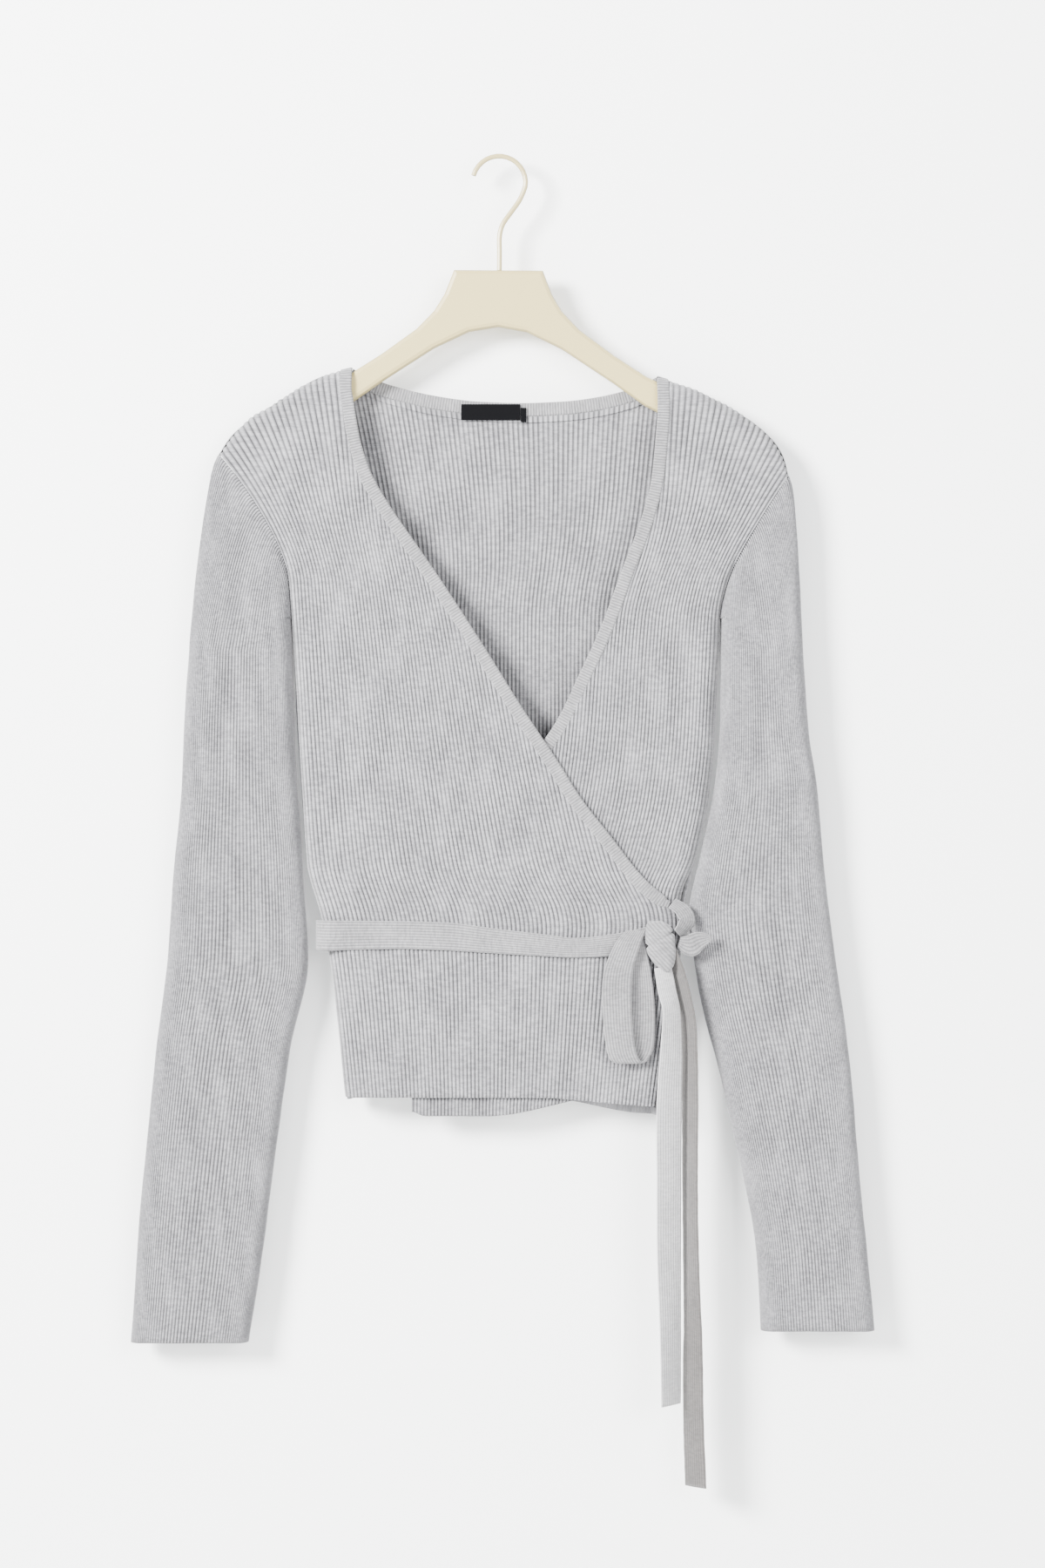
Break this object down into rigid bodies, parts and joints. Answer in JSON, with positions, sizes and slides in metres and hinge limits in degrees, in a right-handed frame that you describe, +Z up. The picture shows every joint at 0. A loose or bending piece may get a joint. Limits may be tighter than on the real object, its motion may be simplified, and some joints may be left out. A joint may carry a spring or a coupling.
{
  "type": "wrap cardigan on a clothes hanger",
  "caption": "Cropped rib-knit wrap cardigan with long sleeves, tied at the waist in a half bow, hung on a flat hanger with a wire hook.",
  "frame": {"origin": "underside of the top of the hook's crook, in the hanger's middle plane, where a peg or rail carries it", "axes": "+Z up, +X to the right as seen from the front, the garment's front faces -Y"},
  "size_m": [0.512, 0.0404, 0.9166],
  "materials": {
    "knit": "fine rib knit, light grey melange with a lilac cast, matt",
    "tape": "fine knitted tape, light grey, matt",
    "label": "black woven ribbon, bare",
    "hanger": "cream plastic, satin, bare",
    "hook": "cream coated steel wire"
  },
  "bodies": {
    "root": {"back": "knit", "front_under": "knit", "front_over": "knit", "sleeve_left": "knit", "sleeve_right": "knit", "band_over": "tape", "band_under": "tape", "band_back": "tape", "belt_front": "tape", "belt_back": "tape", "bow_knot": "tape", "bow_loop": "tape", "tail_left": "tape", "tail_right": "tape", "tie_corner": "tape", "tie_fold": "tape", "neck_label": "label", "size_tab": "label", "hanger_body": "hanger", "hanger_hook": "hook"}
  },
  "joints": []
}
